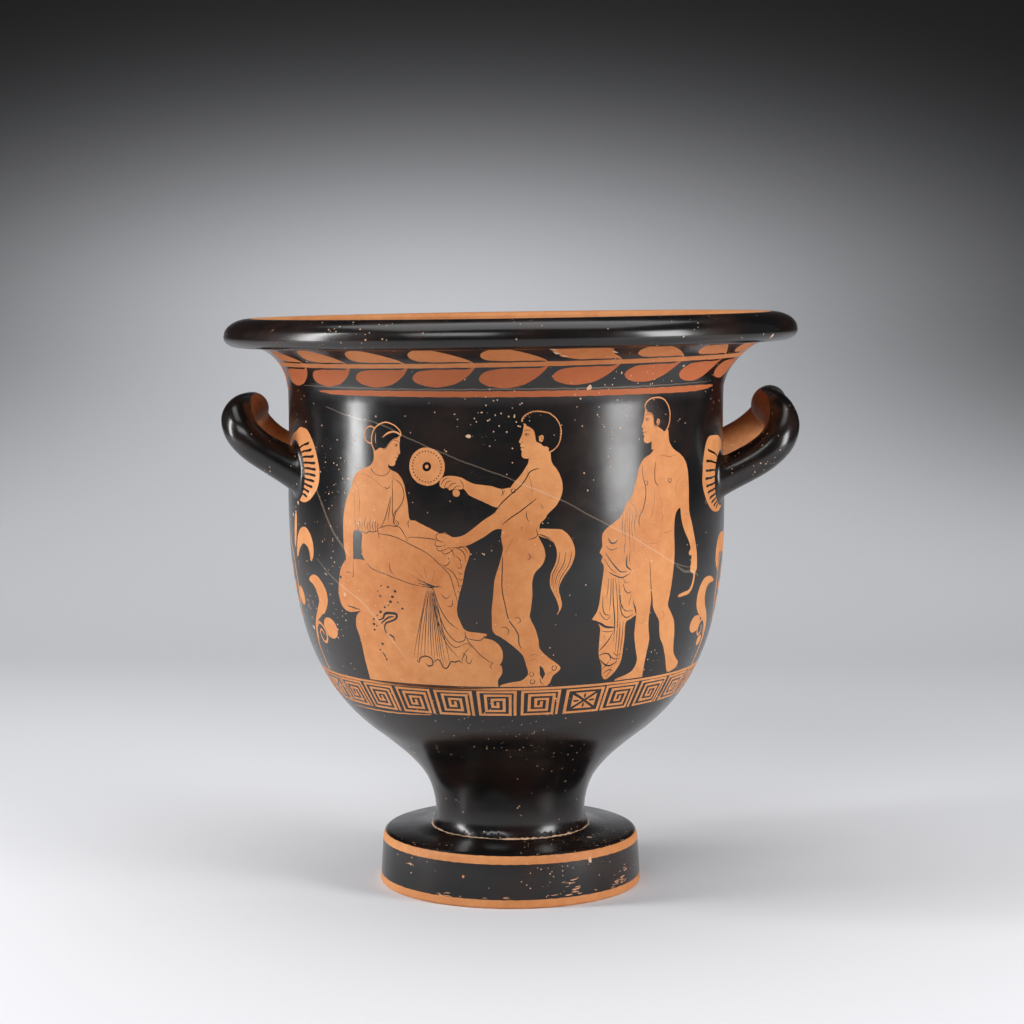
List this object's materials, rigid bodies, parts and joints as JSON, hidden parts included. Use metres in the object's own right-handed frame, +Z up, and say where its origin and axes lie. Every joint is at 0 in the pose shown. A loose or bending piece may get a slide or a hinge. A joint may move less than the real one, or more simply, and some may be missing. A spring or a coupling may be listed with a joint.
{
  "type": "bell krater",
  "caption": "Wheel-thrown mixing bowl with a flaring lip, a short stem on a disc foot and two upturned loop handles, in black gloss with reserved orange figures.",
  "frame": {"origin": "centre of the foot's resting plane, under the middle of the lip", "axes": "+Z up along the vase's axis, +X to the right-hand handle and -X to the left-hand one, -Y out of the front picture, +Y out of the back picture"},
  "size_m": [0.3632, 0.3632, 0.3672],
  "materials": {
    "fired_clay": null
  },
  "bodies": {
    "root": {"krater": "fired_clay"}
  },
  "joints": []
}
